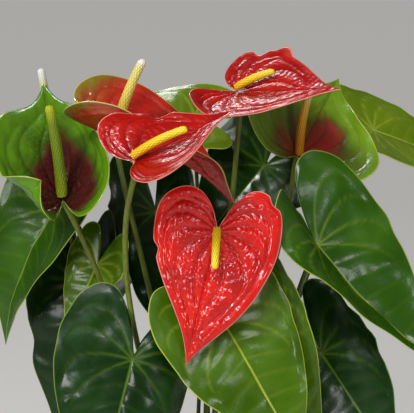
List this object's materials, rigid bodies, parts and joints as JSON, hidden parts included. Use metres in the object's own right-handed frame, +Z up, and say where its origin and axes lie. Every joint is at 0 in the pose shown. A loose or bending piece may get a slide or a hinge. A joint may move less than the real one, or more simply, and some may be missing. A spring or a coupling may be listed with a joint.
{
  "type": "potted anthurium",
  "caption": "Flowering plant in a round tapered nursery pot: heart-shaped leaves and waxy spathes with spadices on arching stalks.",
  "frame": {"origin": "centre of the pot's flat foot, on the surface it stands on", "axes": "+Z up along the pot's axis; -Y towards the side the blooms face; +X to that viewer's right"},
  "size_m": [0.5076, 0.3634, 0.6341],
  "materials": {
    "pot_plastic": "satin",
    "peat": "matte",
    "leaf_tissue": "satin",
    "stem_tissue": "satin",
    "spathe_red": "gloss",
    "spathe_fading": "gloss",
    "spathe_green": "gloss",
    "spadix_tissue": "satin"
  },
  "bodies": {
    "root": {"pot": "pot_plastic", "potting_mix": "peat", "crown": "stem_tissue", "leaf_left_upper": "leaf_tissue", "petiole_left_upper": "stem_tissue", "leaf_left_lower": "leaf_tissue", "petiole_left_lower": "stem_tissue", "leaf_young": "leaf_tissue", "petiole_young": "stem_tissue", "leaf_middle_left": "leaf_tissue", "petiole_middle_left": "stem_tissue", "leaf_front_left": "leaf_tissue", "petiole_front_left": "stem_tissue", "leaf_front_middle": "leaf_tissue", "petiole_front_middle": "stem_tissue", "leaf_front_right": "leaf_tissue", "petiole_front_right": "stem_tissue", "leaf_right_upper": "leaf_tissue", "petiole_right_upper": "stem_tissue", "leaf_right_lower": "leaf_tissue", "petiole_right_lower": "stem_tissue", "leaf_rear_middle": "leaf_tissue", "petiole_rear_middle": "stem_tissue", "leaf_rear_top": "leaf_tissue", "petiole_rear_top": "stem_tissue", "leaf_rear_right": "leaf_tissue", "petiole_rear_right": "stem_tissue", "leaf_back_left": "leaf_tissue", "petiole_back_left": "stem_tissue", "leaf_back_middle": "leaf_tissue", "petiole_back_middle": "stem_tissue", "leaf_back_right": "leaf_tissue", "petiole_back_right": "stem_tissue", "leaf_low_left": "leaf_tissue", "petiole_low_left": "stem_tissue", "leaf_low_right": "leaf_tissue", "petiole_low_right": "stem_tissue", "spathe_front": "spathe_red", "peduncle_front": "stem_tissue", "spadix_front": "spadix_tissue", "spathe_middle": "spathe_red", "peduncle_middle": "stem_tissue", "spadix_middle": "spadix_tissue", "spathe_rear_left": "spathe_fading", "peduncle_rear_left": "stem_tissue", "spadix_rear_left": "spadix_tissue", "spathe_top": "spathe_red", "peduncle_top": "stem_tissue", "spadix_top": "spadix_tissue", "spathe_right": "spathe_green", "peduncle_right": "stem_tissue", "spadix_right": "spadix_tissue", "spathe_left": "spathe_green", "peduncle_left": "stem_tissue", "spadix_left": "spadix_tissue", "spathe_back_left": "spathe_green", "peduncle_back_left": "stem_tissue", "spadix_back_left": "spadix_tissue"}
  },
  "joints": []
}
